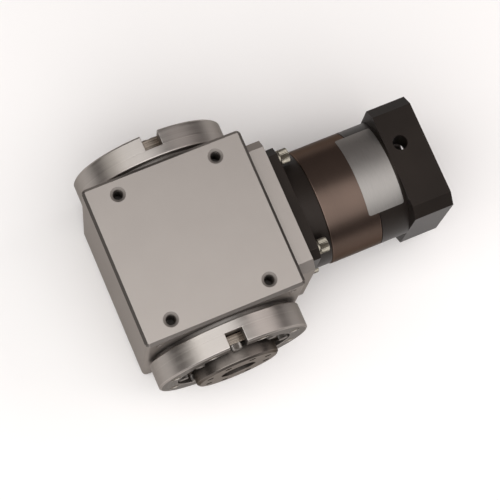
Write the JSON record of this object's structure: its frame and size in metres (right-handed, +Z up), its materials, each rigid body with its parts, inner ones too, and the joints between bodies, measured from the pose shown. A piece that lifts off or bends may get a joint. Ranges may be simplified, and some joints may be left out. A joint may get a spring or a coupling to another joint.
{
  "type": "right-angle planetary gear reducer",
  "caption": "Right-angle gear reducer: square motor adapter, planetary ring gear and a silver cube with a bevel pair that turns a flat output disc between notched collars.",
  "frame": {"origin": "centre of the base face of the cube, under the crossing of the input and output axes", "axes": "+X along the input axis towards the motor, -Y out of the output disc, +Z up through the top plate"},
  "size_m": [0.2248, 0.1575, 0.11],
  "materials": {
    "cast_aluminium": "fine blasted, clear finish",
    "turned_aluminium": "turned, satin",
    "black_anodised": "black anodised, satin",
    "gunmetal_steel": "dark browned, turned",
    "steel": "ground",
    "bright_screw": "zinc plated",
    "seal_rubber": "matt black",
    "plate_metal": "brushed"
  },
  "bodies": {
    "frame": {"housing": "cast_aluminium", "output_flange": "turned_aluminium", "rear_flange": "turned_aluminium", "output_flange_screws": "bright_screw", "rear_flange_screws": "bright_screw", "output_bearing_cup": "steel", "rear_bearing_cup": "steel", "output_retainer": "steel", "retainer_screws": "bright_screw", "output_seal": "seal_rubber", "rear_cover": "turned_aluminium", "rear_cover_screws": "bright_screw", "pinion_bearing_front_cup": "steel", "pinion_bearing_rear_cup": "steel", "pinion_cup_spacer": "steel", "stage_flange": "black_anodised", "stage_screws": "bright_screw", "stage_washers": "bright_screw", "ring_gear": "gunmetal_steel", "tie_screws": "bright_screw", "motor_adapter": "black_anodised", "input_bearing_cup": "steel", "input_seal": "seal_rubber", "nameplate": "plate_metal"},
    "output": {"output_hub": "steel", "crown_gear": "steel", "gear_key": "steel", "hub_spacer": "steel", "output_bearing_cone": "steel", "rear_bearing_cone": "steel", "rear_lock_nut": "steel"},
    "carrier": {"pinion_shaft": "steel", "pinion_bearing_front_cone": "steel", "pinion_bearing_rear_cone": "steel", "pinion_cone_spacer": "steel", "pinion_lock_nut": "steel", "planet_carrier": "steel", "planet_pins": "steel", "carrier_screw": "bright_screw"},
    "planet_1": {"planet_gear_1": "steel"},
    "planet_2": {"planet_gear_2": "steel"},
    "planet_3": {"planet_gear_3": "steel"},
    "input": {"sun_shaft": "steel", "clamp_collar": "steel", "clamp_screw": "bright_screw", "input_bearing_cone": "steel"}
  },
  "joints": [
    {"name": "output_spin", "type": "hinge", "parent": "frame", "child": "output", "pos_m": [0, 0, 0.055], "axis": [0, 1, 0], "continuous": true},
    {"name": "carrier_spin", "type": "hinge", "parent": "frame", "child": "carrier", "pos_m": [0.08, 0, 0.055], "axis": [1, 0, 0], "continuous": true},
    {"name": "input_spin", "type": "hinge", "parent": "frame", "child": "input", "pos_m": [0.13, 0, 0.055], "axis": [1, 0, 0], "continuous": true},
    {"name": "planet_1_spin", "type": "hinge", "parent": "carrier", "child": "planet_1", "pos_m": [0.1015, 0, 0.034], "axis": [1, 0, 0], "continuous": true},
    {"name": "planet_2_spin", "type": "hinge", "parent": "carrier", "child": "planet_2", "pos_m": [0.1015, 0.01819, 0.0655], "axis": [1, 0, 0], "continuous": true},
    {"name": "planet_3_spin", "type": "hinge", "parent": "carrier", "child": "planet_3", "pos_m": [0.1015, -0.01819, 0.0655], "axis": [1, 0, 0], "continuous": true}
  ],
  "couplings": [
    {"joint": "carrier_spin", "follows": "output_spin", "ratio": 2},
    {"joint": "input_spin", "follows": "output_spin", "ratio": 8},
    {"joint": "planet_1_spin", "follows": "output_spin", "ratio": -6},
    {"joint": "planet_2_spin", "follows": "output_spin", "ratio": -6},
    {"joint": "planet_3_spin", "follows": "output_spin", "ratio": -6}
  ]
}
